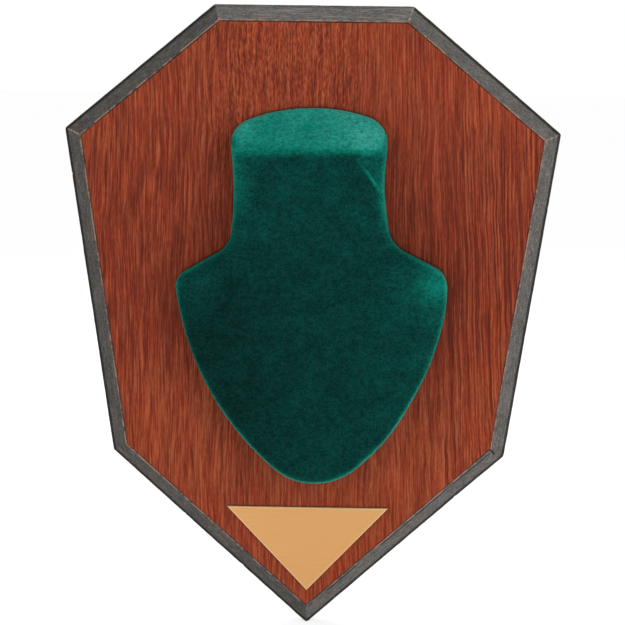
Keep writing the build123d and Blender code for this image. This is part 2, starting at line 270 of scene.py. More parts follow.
def mahogany():
    """Reddish mahogany: fine upright lines and short dark pores, with a stain where the bevel cuts it,
    painted light and shade by height and on the right, and painted contact shade near the form and the plate.
    """
    s = Shader("mahogany_veneer")
    x, y, z = s.split(s.place)
    right = s.step(x, 10 * MM, 90 * MM)
    low_right = s.times(right, s.step(z, -130 * MM, -200 * MM))
    shaded_middle_right = s.times(right, s.times(s.step(z, -130 * MM, -100 * MM), s.step(z, -40 * MM, -60 * MM)))
    from_middle = s.math("ABSOLUTE", s.plus(x, 12 * MM))
    top_middle = s.times(s.step(from_middle, 50 * MM, 15 * MM), s.step(z, -55 * MM, -10 * MM))

    # The lines lean at the right, drift a little everywhere, and are wavy at the top and at the lower right.
    lean = s.times(s.times(right, 0.05), s.plus(z, 100 * MM))
    drift = s.swing(s.noise((30, 40, 50), seed=1.7), 4.5 * MM)
    wave_size = s.plus(s.times(s.math("MAXIMUM", low_right, top_middle), 1.6 * MM), 0.7 * MM)
    wave = s.swing(s.noise((3.5, 20, 9), seed=4.1), wave_size)
    along = s.plus(s.plus(x, lean), s.plus(drift, wave))
    grain_place = s.joined(along, y, z)

    short_lines = s.noise((0.9, 20, 26), grain_place, detail=2, roughness=0.6, seed=5.5)
    long_lines = s.noise((0.8, 20, 70), grain_place, detail=2, roughness=0.6, seed=6.3)
    short_lines = s.spread(short_lines, s.step(x, -30 * MM, -70 * MM, 0.85, 1.1))
    lines = s.blend(right, short_lines, s.spread(long_lines, 1.5))
    hairs = s.noise((0.5, 20, 12), grain_place, detail=1, roughness=0.5, seed=2.3)
    flecks = s.noise((0.55, 20, 2.6), grain_place, detail=1, roughness=0.5, seed=8.9)
    bands = s.noise((4.5, 20, 90), grain_place, detail=3, roughness=0.55, seed=7.2)
    hue_place = s.noise((4.5, 20, 24), grain_place, detail=2, seed=3.4)
    fleck_size = s.plus(s.times(top_middle, 0.55), 0.30)
    tone = s.spread(lines, 0.95)
    tone = s.plus(tone, s.swing(hairs, 0.66))
    tone = s.plus(tone, s.swing(flecks, fleck_size))
    tone = s.plus(tone, s.swing(bands, 0.18))
    # Painted light and shade: the wood is made lighter towards the bottom and the top, and darker at the
    # middle of the right-hand side.
    tone = s.plus(tone, s.step(z, -105 * MM, -165 * MM, -0.040, 0.050))
    tone = s.plus(tone, s.step(z, -45 * MM, -5 * MM, 0.0, 0.055))
    tone = s.plus(tone, s.times(shaded_middle_right, -0.04))
    colour = s.ramp(
        tone,
        (0.26, srgb(101, 34, 15)),
        (0.42, srgb(128, 47, 24)),
        (0.55, srgb(149, 61, 32)),
        (0.78, srgb(180, 89, 53)),
    )
    hue = s.ramp(hue_place, (0.38, (1.03, 0.94, 0.94, 1)), (0.62, (0.96, 1.03, 1.08, 1)))
    colour = s.mix(1.0, colour, hue, "MULTIPLY")

    cut_edge = s.step(s.split(s.facing)[1], -0.95, -0.85)
    stretch = s.noise((9, 9, 9), detail=2, seed=9.3)
    stain = s.mix(s.step(stretch, 0.40, 0.60), srgb(56, 27, 20), srgb(104, 50, 34))
    colour = s.mix(cut_edge, colour, stain)
    # Painted contact shade round the form and the brass plate.
    colour = s.shade(colour, s.step(s.openness(CONTACT_SHADE_REACH), 0.50, 0.95, 0.30, 1.0))
    relief = s.bump(s.step(s.math("MINIMUM", lines, flecks), 0.25, 0.50), 0.04 * MM)
    return s.finish(
        base_color=colour,
        roughness=s.step(lines, 0.3, 0.6, 0.60, 0.46),
        specular_ior_level=0.15,
        normal=relief,
    )


def lifted_gap_shadow(s, across, from_end):
    """1 in the painted shadow of the gap at the lifted end: a bowed line near the mitre, and a broken one
    along the face.
    """
    bow = s.times(s.times(across, across), GAP_BOW)
    off_bow = s.math("ABSOLUTE", s.minus(s.minus(from_end, bow), 0.2 * MM))
    end_gap = s.times(s.step(off_bow, 0.8 * MM, 0.3 * MM), s.step(across, 6.2 * MM, 5.0 * MM))
    off_line = s.math("ABSOLUTE", s.minus(across, GAP_FROM_FACE))
    side_gap = s.times(s.step(off_line, 0.7 * MM, 0.3 * MM), s.step(from_end, 0.0, 0.4 * MM))
    side_gap = s.times(side_gap, s.step(from_end, 0.5 * FAR, 0.4 * FAR))
    broken = s.step(s.noise((12, 12, 12), detail=1, seed=3.6), 0.40, 0.50)
    return s.math("MAXIMUM", end_gap, s.times(side_gap, broken))


def edge_paint():
    """Charcoal paint: grainy and worn to tan next to the face, with a painted highlight at the mitres,
    painted light and shade by side, a painted shadow at the lifted end and painted shade, near black, along
    the outside.
    """
    s = Shader("painted_bevel")
    length, across, from_end = s.split(s.attribute("edge_place").outputs["Vector"])
    mitre_highlight = s.attribute("painted_mitre_highlight").outputs["Fac"]
    side_light = s.attribute("painted_side_light").outputs["Fac"]
    strip = s.joined(length, across, 0.0)
    fibre = s.noise((2.4, 0.6, 1000), strip, detail=2, roughness=0.6, seed=1.2)
    grain = s.noise((0.6, 0.6, 0.6), detail=2, roughness=0.6, seed=2.9)
    cloud = s.noise((12, 12, 12), detail=2, seed=5.3)
    tint = s.noise((5, 5, 5), detail=1, seed=7.7)
    tone = s.plus(s.times(fibre, 0.45), s.times(grain, 0.55))
    colour = s.ramp(
        tone,
        (0.36, srgb(74, 71, 68)),
        (0.50, srgb(104, 101, 98)),
        (0.64, srgb(140, 136, 131)),
    )
    hue = s.mix(s.step(tint, 0.38, 0.62), (1.05, 0.99, 0.95, 1), (0.96, 1.01, 1.03, 1))
    colour = s.mix(1.0, colour, hue, "MULTIPLY")
    colour = s.shade(colour, s.step(cloud, 0.35, 0.65, 0.90, 1.08))
    # Painted light and shade: each side of the bevel is made lighter or darker for how the light falls on it.
    colour = s.shade(colour, side_light)
    on_top = s.step(side_light, 0.95, 1.05)
    streak = s.noise((14, 0.9, 1000), strip, detail=2, roughness=0.6, seed=8.1)
    streaked = s.times(s.step(streak, 0.54, 0.66), s.step(on_top, 0, 1, 0.12, 0.55))
    colour = s.mix(streaked, colour, srgb(168, 158, 150))

    leftward = s.times(s.split(s.facing)[0], -0.03)
    scraped = s.plus(s.noise((4, 4, 4), detail=2, roughness=0.7, seed=4.4), leftward)
    bare = s.times(s.step(across, 1.5 * MM, 0.6 * MM), s.step(scraped, 0.42, 0.60))
    colour = s.mix(s.times(bare, 0.72), colour, srgb(186, 146, 120))
    # Painted highlight along the mitres.
    colour = s.mix(s.step(mitre_highlight, 0.35, 0.75), colour, srgb(172, 154, 138))

    # Painted shadow in the gap at the lifted end.
    colour = s.shade(colour, s.step(lifted_gap_shadow(s, across, from_end), 0, 1, 1.0, 0.22))
    # Painted shade along the outer arris, less dark on the top side.
    outer_shade = s.step(on_top, 0, 1, 0.22, 0.75)
    colour = s.shade(colour, s.step(across, 9.3 * MM, 10.4 * MM, 1.0, outer_shade))
    relief = s.bump(tone, 0.05 * MM)
    return s.finish(base_color=colour, roughness=0.72, specular_ior_level=0.2, normal=relief)


def velvet():
    """Dark green velvet: deep where the pile is seen end on, with painted sheen making it bright teal where
    it turns away, and the painted light stored on the cover.
    """
    s = Shader("green_velvet")
    # Painted light and sheen stored on the cover: the lit slope, bright edges and painted highlights.
    painted_light = s.attribute("painted_light").outputs["Fac"]
    pile = s.noise((0.8, 0.8, 0.8), detail=2, roughness=0.7, seed=3.3)
    tufts = s.noise((2.2, 2, 1.6), detail=2, roughness=0.6, seed=6.6)
    brushed = s.noise((12, 12, 10), detail=3, roughness=0.55, seed=8.4)
    relief = s.bump(pile, 0.25 * MM)
    # Painted sheen: the colour turns brighter where the surface turns away from the view.
    layer = s.node("LayerWeight")
    s.plug(layer.inputs["Blend"], 0.5)
    painted_sheen = s.step(layer.outputs["Facing"], 0.05, 0.95, 0.0, 0.18)
    tone = s.plus(painted_sheen, painted_light)
    tone = s.plus(tone, s.swing(brushed, 0.17))
    colour = s.ramp(
        tone,
        (0.00, srgb(8, 42, 39)),
        (0.10, srgb(8, 58, 52)),
        (0.20, srgb(9, 84, 74)),
        (0.32, srgb(12, 121, 106)),
        (0.44, srgb(38, 147, 131)),
        (0.60, srgb(64, 164, 148)),
    )
    mottle = s.plus(s.times(pile, 0.75), s.times(tufts, 0.45))
    darkest = s.step(painted_light, 0.14, 0.34, 0.52, 0.56)
    palest = s.step(painted_light, 0.14, 0.34, 1.50, 1.46)
    colour = s.shade(colour, s.step(mottle, 0.38, 0.82, darkest, palest))
    return s.finish(
        base_color=colour,
        roughness=0.9,
        specular_ior_level=0.03,
        sheen_weight=0.08,
        sheen_roughness=0.4,
        sheen_tint=srgb(60, 190, 165),
        normal=relief,
    )


def from_plate_edge(s):
    """Distance in from the edge of the triangular plate."""
    low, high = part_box("engraving_plate")
    half, height = (high.x - low.x) / 2, high.z - low.z
    x, _, z = s.split(s.place)
    below = s.minus(high.z, z)
    aside = s.math("ABSOLUTE", s.minus(x, (low.x + high.x) / 2))
    share = s.plus(s.math("DIVIDE", aside, half), s.math("DIVIDE", below, height))
    from_slant = s.times(s.minus(1.0, share), half * height / math.hypot(half, height))
    return s.math("MINIMUM", below, from_slant)


def brass():
    """Satin brass with a fine level brushing, faint handling marks and a painted highlight along its edge."""
    s = Shader("brass_plate")
    lines = s.noise((20, 10, 0.12), detail=2, roughness=0.6, seed=1.1)
    smudge = s.noise((18, 20, 12), detail=3, seed=4.8)
    colour = s.mix(s.step(lines, 0.3, 0.7), srgb(231, 171, 106), srgb(239, 180, 115))
    colour = s.mix(s.step(smudge, 0.55, 0.8, 0.0, 0.15), colour, srgb(224, 162, 99))
    # Painted highlight: a bright rim along the plate's edge, where the chamfer would catch the light.
    colour = s.mix(s.step(from_plate_edge(s), 0.9 * MM, 0.3 * MM), colour, srgb(255, 212, 158))
    return s.finish(
        base_color=colour,
        metallic=0.6,
        roughness=s.step(smudge, 0.3, 0.7, 0.38, 0.46),
        normal=s.bump(lines, 0.002 * MM),
    )


def plain_wood(name, light, dark, ring, length, seed):
    """Bare wood with grain along Z: soft growth bands and fine fibres."""
    s = Shader(name)
    drift = s.times(s.noise((40, 40, 90), seed=seed), 20 * MM)
    x, y, z = s.split(s.place)
    grain_place = s.joined(s.plus(x, drift), y, z)
    growth = s.noise((ring, ring, length), grain_place, detail=2, roughness=0.5, seed=seed)
    fibre = s.noise((0.4, 0.4, 6), grain_place, detail=2, roughness=0.6, seed=seed + 2.5)
    tone = s.plus(s.times(growth, 0.65), s.times(fibre, 0.35))
    colour = s.ramp(tone, (0.36, dark), (0.60, light))
    relief = s.bump(fibre, 0.04 * MM)
    return s.finish(base_color=colour, roughness=0.78, specular_ior_level=0.2, normal=relief)


def foam():
    """Soft cream foam with open cells."""
    s = Shader("foam")
    cells = s.noise((0.6, 0.6, 0.6), detail=2, roughness=0.8, seed=1.9)
    colour = s.mix(s.step(cells, 0.4, 0.6), srgb(196, 184, 146), srgb(238, 230, 200))
    return s.finish(base_color=colour, roughness=0.95, specular_ior_level=0.1, normal=s.bump(cells, 0.3 * MM))


def metal(name, light, dark, grain, roughness, seed):
    """Plated metal: cloudy tone, fine scratches along the grain's long axis."""
    s = Shader(name)
    cloud = s.noise((3, 3, 3), detail=3, seed=seed)
    lines = s.noise(grain, detail=2, roughness=0.6, seed=seed + 1.5)
    colour = s.mix(s.step(cloud, 0.35, 0.65), dark, light)
    colour = s.shade(colour, s.step(lines, 0.3, 0.7, 0.88, 1.08))
    rough = s.step(cloud, 0.3, 0.7, roughness + 0.08, roughness - 0.05)
    return s.finish(base_color=colour, metallic=1.0, roughness=rough, normal=s.bump(lines, 0.006 * MM))


def adhesive():
    """White foam-film tape with a slight weave."""
    s = Shader("adhesive_sheet")
    weave = s.noise((0.5, 0.5, 0.5), detail=1, seed=2.2)
    colour = s.mix(weave, srgb(214, 210, 200), srgb(240, 238, 232))
    return s.finish(base_color=colour, roughness=0.6, normal=s.bump(weave, 0.02 * MM))


def rubber():
    """Soft dark rubber with a dull, slightly dusty skin."""
    s = Shader("bumper_rubber")
    dust = s.noise((2.5, 2.5, 2.5), detail=3, seed=7.7)
    skin = s.noise((0.4, 0.4, 0.4), detail=1, seed=3.8)
    colour = s.mix(s.step(dust, 0.5, 0.75), srgb(34, 33, 32), srgb(66, 63, 60))
    return s.finish(base_color=colour, roughness=0.7, specular_ior_level=0.35, normal=s.bump(skin, 0.03 * MM))


# ---- Board with a milled, painted edge ----
def face_corners():
    """The seven corners of the face, in order round the board."""
    points = {
        (round(v.co.x, 6), round(v.co.z, 6))
        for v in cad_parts["face_veneer"].data.vertices
        if v.co.y < FACE_LOW.y + SAME_PLANE
    }
    middle = Vector((BOARD_MIDDLE.x, BOARD_MIDDLE.z))
    points = [Vector(point) for point in points]
    rim = [point for point in points if on_hull(point, points)]
    return sorted(rim, key=lambda p: -math.atan2(*(p - middle)))


def on_hull(point, points):
    """Whether a line through the point leaves every other point on one side."""
    for other in points:
        if (other - point).length > MM:
            sides = [(other - point).cross(third - point) for third in points]
            if min(sides) > -NO_AREA or max(sides) < NO_AREA:
                return True
    return False


class Outline:
    """The board's outline as straight sides with outward normals, and the same sides moved in."""

    def __init__(self, corners, outset):
        self.count = len(corners)
        middle = sum(corners, Vector((0, 0))) / self.count
        self.normals = []
        self.offsets = []
        for index in range(self.count):
            side = corners[(index + 1) % self.count] - corners[index]
            normal = Vector((side.y, -side.x)).normalized()
            if normal.dot(corners[index] - middle) < 0:
                normal.negate()
            self.normals.append(normal)
            self.offsets.append(normal.dot(corners[index]) + outset)

    def corners(self, inset=0.0):
        """Where neighbouring sides meet when every side is moved in."""
        made = []
        for index in range(self.count):
            before, after = self.normals[index - 1], self.normals[index]
            first, second = self.offsets[index - 1] - inset, self.offsets[index] - inset
            turn = before.cross(after)
            made.append(
                Vector((first * after.y - second * before.y, second * before.x - first * after.x)) / turn
            )
        return made

    def inset_at(self, point):
        """How far inside the nearest side a point lies."""
        return min(offset - normal.dot(point) for normal, offset in zip(self.normals, self.offsets))


def edge_columns(outline):
    """Round the board: inner point, outer point, side number, share along the side, length of the side."""
    inner = outline.corners(BEVEL - VENEER)
    outer = outline.corners()
    centres = outline.corners(CORNER_RADIUS)
    columns = []
    for side in range(outline.count):
        after = (side + 1) % outline.count
        steps = round((outer[after] - outer[side]).length / EDGE_STEP)
        direction = (outer[after] - outer[side]).normalized()
        for step in range(steps):
            share = step / steps
            point = outer[side].lerp(outer[after], share)
            for centre, towards_end in ((centres[side], -direction), (centres[after], direction)):
                if (point - centre).dot(towards_end) > 0:
                    point = centre + (point - centre).normalized() * CORNER_RADIUS
            columns.append((inner[side].lerp(inner[after], share), point, side, share, steps * EDGE_STEP))
    return columns


def edge_rows():
    """(share across the bevel, share down the edge wall) for each row, from the face to the back."""
    bevel_rows = round(STRIP_WIDTH / EDGE_STEP)
    wall_rows = round((CORE_HIGH.y - BEVEL_START_Y) / EDGE_STEP)
    rows = [(row / bevel_rows, 0.0) for row in range(bevel_rows + 1)]
    return rows + [(1.0, (row + 1) / wall_rows) for row in range(wall_rows)]


def milled_edge(outline, lifted_side):
    """The bevel and the edge wall row by row: each point with its strip place, painted mitre highlight and
    painted side light.
    """
    columns = edge_columns(outline)
    rows = edge_rows()
    front = FACE_LOW.y + VENEER
    samples = []
    for across, down in rows:
        for inner, outer, side, share, length in columns:
            flat = inner.lerp(outer, across)
            bevel_y = max(BEVEL_START_Y - outline.inset_at(flat), front) if across else front
            wall = (CORE_HIGH.y - bevel_y) * down
            point = Vector((flat.x, bevel_y + wall, flat.y))
            normal = outline.normals[side]
            out = Vector((normal.x, -1 if down == 0 else 0, normal.y)).normalized()
            from_end = from_lifted_end((side - lifted_side) % outline.count, share, length)
            strip = Vector((side * STRIP_SPACING + share * length, across * STRIP_WIDTH + wall, from_end))
            relief = edge_relief(point, strip, side) + lifted_end(from_end)
            relief -= arris_chip(point, across, down, normal.y > LEVEL_SIDE)
            relief *= smooth_step(across, 0.0, 0.06) * smooth_step(1 - down, 0.0, 0.2)
            mitre_highlight = painted_mitre_highlight(point, share, length)
            samples.append((point + out * relief, strip, mitre_highlight, painted_side_light(normal)))
    return samples, len(columns), len(rows)


def edge_relief(point, strip, side):
    """Height of the milled surface: fibres along the side and a fine roughness."""
    fibres = noise.noise(Vector((strip.x / (4 * MM), strip.y / (0.9 * MM), side)))
    return MILL_RELIEF * (fibres + 0.5 * noise.noise(point / (1.6 * MM)))


def arris_chip(point, across, down, on_top):
    """Depth of the chips along the outer arris, which are more frequent on the top side."""
    arris = math.exp(-(((across - 1) * 11 + down * 9) ** 2))
    chip = smooth_step(noise.noise(point / (4.5 * MM)) + 0.25 * on_top, 0.52, 0.72)
    return arris * chip * CHIP_DEPTH


def painted_side_light(normal):
    """Painted light and shade: the paint is made palest on the top side and darker on the left-hand sides,
    for how the light falls on each side.
    """
    return 0.92 - 0.335 * smooth_step(-normal.x, 0.2, 0.6) + 0.18 * smooth_step(normal.y, LEVEL_SIDE, 1.0)


def from_lifted_end(sides_on, share, length):
    """Distance from the lifted end: positive along the lifted side, negative along the next one."""
    if sides_on == 0:
        return (1 - share) * length
    return -share * length if sides_on == 1 else FAR


def lifted_end(distance):
    """The lower right side stands a little proud of its neighbour where they meet."""
    if distance > 0:
        return LIFTED_END_HEIGHT * smooth_step(LIFTED_END_LENGTH - distance, 0.0, LIFTED_END_LENGTH)
    reach = 0.4 * LIFTED_END_LENGTH
    return -0.4 * LIFTED_END_HEIGHT * smooth_step(reach + distance, 0.0, reach)


def painted_mitre_highlight(point, share, length):
    """Painted highlight along the mitres, strongest on the upper ones and speckled."""
    speck = noise.noise(point / (2.2 * MM)) + 0.5 * noise.noise(point / (0.8 * MM))
    to_mitre = min(share, 1 - share) * length
    amount = 0.12 + 0.62 * smooth_step(point.z, -120 * MM, 10 * MM)
    return amount * (1 - smooth_step(to_mitre, 0.0, MITRE_HIGHLIGHT_WIDTH)) * (0.9 + 0.8 * speck)


def drilled_core(outline):
    """The walls of the CAD core's screw holes, without its front, back and edge."""
    shell = bmesh.new()
    shell.from_mesh(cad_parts["core_board"].data)
    bmesh.ops.remove_doubles(shell, verts=shell.verts, dist=SAME_POINT)
    outside = []
    for face in shell.faces:
        middle = face.calc_center_median()
        on_plane = min(abs(middle.y - CORE_LOW.y), abs(middle.y - CORE_HIGH.y)) < SAME_PLANE
        if on_plane or outline.inset_at(Vector((middle.x, middle.z))) < 1.05 * BEVEL:
            outside.append(face)
    bmesh.ops.delete(shell, geom=outside, context="FACES")
    return shell


def board_core():
    """The core board: its screw holes from the frame, a new milled edge, and flat faces between them."""
    outline = Outline(face_corners(), BEVEL)
    lifted_side = min(range(outline.count), key=lambda index: outline.corners()[index].y)
    samples, columns, rows = milled_edge(outline, lifted_side)
    shell = drilled_core(outline)
    place_layer = shell.verts.layers.float_vector.new("edge_place")
    mitre_highlight_layer = shell.verts.layers.float.new("painted_mitre_highlight")
    side_light_layer = shell.verts.layers.float.new("painted_side_light")
    made = []
    for point, place, mitre_highlight, tone in samples:
        vertex = shell.verts.new(point)
        vertex[place_layer] = place
        vertex[mitre_highlight_layer] = mitre_highlight
        vertex[side_light_layer] = tone
        made.append(vertex)
    for row in range(rows - 1):
        this_row, next_row = row * columns, (row + 1) * columns
        for column in range(columns):
            after = (column + 1) % columns
            corners = (this_row + column, this_row + after, next_row + after, next_row + column)
            shell.faces.new([made[corner] for corner in corners])
    for plane_y in (CORE_LOW.y, CORE_HIGH.y):
        rims = [
            edge
            for edge in shell.edges
            if edge.is_boundary and all(abs(v.co.y - plane_y) < SAME_PLANE for v in edge.verts)
        ]
        bmesh.ops.triangle_fill(shell, use_beauty=True, use_dissolve=False, edges=rims)
    bmesh.ops.delete(shell, geom=[v for v in shell.verts if not v.link_faces], context="VERTS")
    bmesh.ops.recalc_face_normals(shell, faces=shell.faces)
    return new_piece("board_core", shell, EDGE_SHARP_ANGLE)


def new_piece(name, shell, sharp_angle=None):
    """An object from a bmesh, smooth shaded, with edges above this angle kept sharp."""
    mesh = bpy.data.meshes.new(name)
    shell.to_mesh(mesh)
    shell.free()
    mesh.shade_smooth()
    if sharp_angle:
        mesh.set_sharp_from_angle(angle=sharp_angle)
    piece = bpy.data.objects.new(name, mesh)
    bpy.context.scene.collection.objects.link(piece)
    return piece


# ---- Velvet ----
def outer_skin(node):
    """The outside of a CAD shell without its back, closed by one flat face at the back."""
    shell = bmesh.new()
    shell.from_mesh(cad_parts[node].data)
    bmesh.ops.remove_doubles(shell, verts=shell.verts, dist=SAME_POINT)
    shell.normal_update()
    front = min(shell.faces, key=lambda face: face.calc_center_median().y)
    reached, waiting = {front}, [front]
    while waiting:
        for edge in waiting.pop().edges:
            for face in edge.link_faces:
                if face not in reached and face.normal.y < FACES_WALL:
                    reached.add(face)
                    waiting.append(face)
    bmesh.ops.delete(shell, geom=[face for face in shell.faces if face not in reached], context="FACES")
    rim = [edge for edge in shell.edges if edge.is_boundary]
    bmesh.ops.contextual_create(shell, geom=rim)
    bmesh.ops.recalc_face_normals(shell, faces=shell.faces)
    return shell


def remeshed(piece, size):
    """Gives the piece an even quad mesh."""
    remesh = piece.modifiers.new("remesh", "REMESH")
    remesh.mode = "VOXEL"
    remesh.voxel_size = size
    bake(piece)


def bake(piece):
    """Replaces the piece's mesh by what its modifiers make of it."""
    graph = bpy.context.evaluated_depsgraph_get()
    mesh = bpy.data.meshes.new_from_object(piece.evaluated_get(graph))
    piece.modifiers.clear()
    piece.data = mesh


def coordinates(mesh):
    """The mesh's points as an array."""
    values = np.empty(len(mesh.vertices) * 3)
    mesh.vertices.foreach_get("co", values)
    return values.reshape(-1, 3)


def stretched_cloth(piece):
    """Swells the piece with Blender's cloth, its back held, and stops every point at the swell limit."""
    start = coordinates(piece.data)
    held = piece.vertex_groups.new(name="held")
    for index, point in enumerate(start):
        weight = smooth_step(point[1], HEM_Y - 9 * MM, HEM_Y - 2 * MM)
        held.add([index], weight, "REPLACE")
    cloth = piece.modifiers.new("cloth", "CLOTH")
    cloth.settings.use_pressure = True
    cloth.settings.uniform_pressure_force = CLOTH_PRESSURE
    cloth.settings.vertex_group_mass = "held"
    cloth.settings.effector_weights.gravity = 0.0
    cloth.settings.quality = CLOTH_QUALITY
    cloth.settings.mass = CLOTH_MASS
    cloth.point_cache.frame_start = 1
    cloth.point_cache.frame_end = CLOTH_FRAMES
    for number in range(1, CLOTH_FRAMES + 1):
        bpy.context.scene.frame_set(number)
    bake(piece)
    bpy.context.scene.frame_set(1)
    moved = coordinates(piece.data) - start
    length = np.linalg.norm(moved, axis=1, keepdims=True)
    capped = start + moved * np.minimum(1.0, SWELL_LIMIT / np.maximum(length, SAME_POINT))
    piece.data.vertices.foreach_set("co", capped.ravel())


def fit_to_form(piece, skin):
    """Keeps the cloth between just inside the form's true skin and a small puff outside it."""
    points = coordinates(piece.data)
    for index, point in enumerate(points):
        nearest, normal, _, _ = skin.find_nearest(Vector(point))
        height = (Vector(point) - nearest).dot(normal)
        from_back = smooth_step(HEM_Y - point[1], 6 * MM, 16 * MM)
        highest = SIDE_PUFF + (FRONT_PUFF - SIDE_PUFF) * from_back * max(0.0, -normal.y)
        if normal.y >= FACES_WALL:
            highest = 0.0
        points[index] = nearest + normal * min(max(height, INWARD_LIMIT), highest)
    piece.data.vertices.foreach_set("co", points.ravel())


def hem_distance(point, rim):
    """How far inside the hem's outer edge a point at the back lies."""
    nearest = min((Vector((point.x, point.z)) - spot).length_squared for spot in rim)
    return math.sqrt(nearest)


def velvet_cover():
    """Velvet stretched over the form, with its hem turned in behind."""
    shell = outer_skin("velvet_cover")
    skin = BVHTree.FromBMesh(shell)
    rim = [Vector((v.co.x, v.co.z)) for v in shell.verts if abs(v.co.y - HEM_Y) < SAME_PLANE]
    bmesh.ops.triangulate(shell, faces=shell.faces)
    piece = new_piece("velvet", shell)
    remeshed(piece, VOXEL)
    inset_mesh(piece.data, START_INSET)
    stretched_cloth(piece)
    fit_to_form(piece, skin)
    smooth_mesh(piece.data, rounds=2, share=0.4)
    pull_out_of_true(piece.data)
    cut_opening(piece, rim)
    subdivided(piece, 1)
    refine_crease(piece)
    crease(piece)
    store_painted_light(piece)
    thicken(piece)
    piece.data.shade_smooth()
    return piece


def cut_opening(piece, rim):
    """Opens the back inside the turned-in hem."""
    shell = bmesh.new()
    shell.from_mesh(piece.data)
    shell.normal_update()
    inside = []
    for face in shell.faces:
        middle = face.calc_center_median()
        on_back = face.normal.y > 0.7 and middle.y > HEM_Y - 0.5 * MM
        if on_back and hem_distance(middle, rim) > HEM_WIDTH:
            inside.append(face)
    bmesh.ops.delete(shell, geom=inside, context="FACES")
    shell.to_mesh(piece.data)
    shell.free()


def inset_mesh(mesh, distance):
    """Moves every point in along its normal."""
    points = coordinates(mesh)
    normals = np.array([vertex.normal for vertex in mesh.vertices])
    mesh.vertices.foreach_set("co", (points - normals * distance).ravel())
    mesh.update()


def smooth_mesh(mesh, rounds, share):
    """Moves each point part of the way to the middle of its neighbours."""
    points = coordinates(mesh)
    ends = np.array([edge.vertices[:] for edge in mesh.edges])
    counts = np.bincount(ends.ravel(), minlength=len(points)).reshape(-1, 1)
    for _ in range(rounds):
        total = np.zeros_like(points)
        np.add.at(total, ends[:, 0], points[ends[:, 1]])
        np.add.at(total, ends[:, 1], points[ends[:, 0]])
        points += share * (total / np.maximum(counts, 1) - points)
    mesh.vertices.foreach_set("co", points.ravel())
    mesh.update()


def subdivided(piece, levels):
    """Smooth subdivision, applied."""
    subdivision = piece.modifiers.new("subdivision", "SUBSURF")
    subdivision.levels = levels
    subdivision.boundary_smooth = "ALL"
    bake(piece)


def thicken(piece):
    """Gives the cloth its thickness, inwards."""
    solidify = piece.modifiers.new("thickness", "SOLIDIFY")
    solidify.thickness = CLOTH_THICKNESS
    solidify.offset = -1.0
    bake(piece)


def on_form(point):
    """(across from the form's middle line, below its top) of a point, along the form's own axes."""
    middle = (FORM_LOW + FORM_HIGH) / 2
    across, up = point[0] - middle.x, point[2] - middle.z
    across, up = (
        across * math.cos(FORM_TURN) + up * math.sin(FORM_TURN),
        up * math.cos(FORM_TURN) - across * math.sin(FORM_TURN),
    )
    return across, (FORM_HIGH.z - FORM_LOW.z) / 2 - up


def crease_at(point):
    """(share along the crease, distance to its upper right) of a point seen from the front."""
    top = Vector((CREASE_TOP[0], -CREASE_TOP[1]))
    line = Vector((CREASE_FOOT[0], -CREASE_FOOT[1])) - top
    across, drop = on_form(point)
    flat = Vector((across, -drop)) - top
    share = flat.dot(line) / line.length_squared
    bow = CREASE_BOW * math.sin(math.pi * min(max(share, 0.0), 1.0))
    return share, (flat - line * share).dot(Vector((-line.y, line.x)).normalized()) - bow


def crease_rise(point):
    """The crease's height at a point, from 0 to 1."""
    share, off = crease_at(point)
    if not 0 < share < 1:
        return 0.0
    along = smooth_step(share, -0.05, 0.60) * (1 - smooth_step(share, 0.72, 1.0))
    return along * math.exp(-((off / CREASE_HALF_WIDTH) ** 2))


def pull_out_of_true(mesh):
    """Small outward pulls at the edges, as a cover stretched by hand has them."""
    points = coordinates(mesh)
    for index, point in enumerate(points):
        across, drop = on_form(point)
        right, up = 0.0, 0.0
        for (middle, below), reach, (pull_right, pull_up) in PULLS:
            share = math.exp(-((across - middle) ** 2 + (drop - below) ** 2) / reach**2)
            right += share * pull_right
            up += share * pull_up
        points[index] += (right, 0.0, up)
    mesh.vertices.foreach_set("co", points.ravel())
    mesh.update()


def refine_crease(piece):
    """A finer mesh round the crease."""
    shell = bmesh.new()
    shell.from_mesh(piece.data)
    near = []
    for edge in shell.edges:
        share, off = crease_at((edge.verts[0].co + edge.verts[1].co) / 2)
        on_front = edge.verts[0].normal.y < -0.2
        if on_front and -0.1 < share < 1.1 and abs(off) < 4 * CREASE_HALF_WIDTH:
            near.append(edge)
    bmesh.ops.subdivide_edges(shell, edges=near, cuts=3, use_grid_fill=True)
    shell.to_mesh(piece.data)
    shell.free()


def crease(piece):
    """A raised crease from the slope's right end down the neck, where the cloth is folded over the corner."""
    points = coordinates(piece.data)
    for index, vertex in enumerate(piece.data.vertices):
        if vertex.normal.y < -0.2:
            points[index] += np.array(vertex.normal) * crease_rise(vertex.co) * CREASE_HEIGHT
    piece.data.vertices.foreach_set("co", points.ravel())
    piece.data.update()


def bump_at(value, middle, width):
    """A smooth bump of height 1 round a middle."""
    return math.exp(-(((value - middle) / width) ** 2))


def light_spots(spots, across, drop):
    """The sum of these spots at a place on the form."""
    return sum(
        light * bump_at(across, middle, width) * bump_at(drop, below, height)
        for (middle, width), (below, height), light in spots
    )


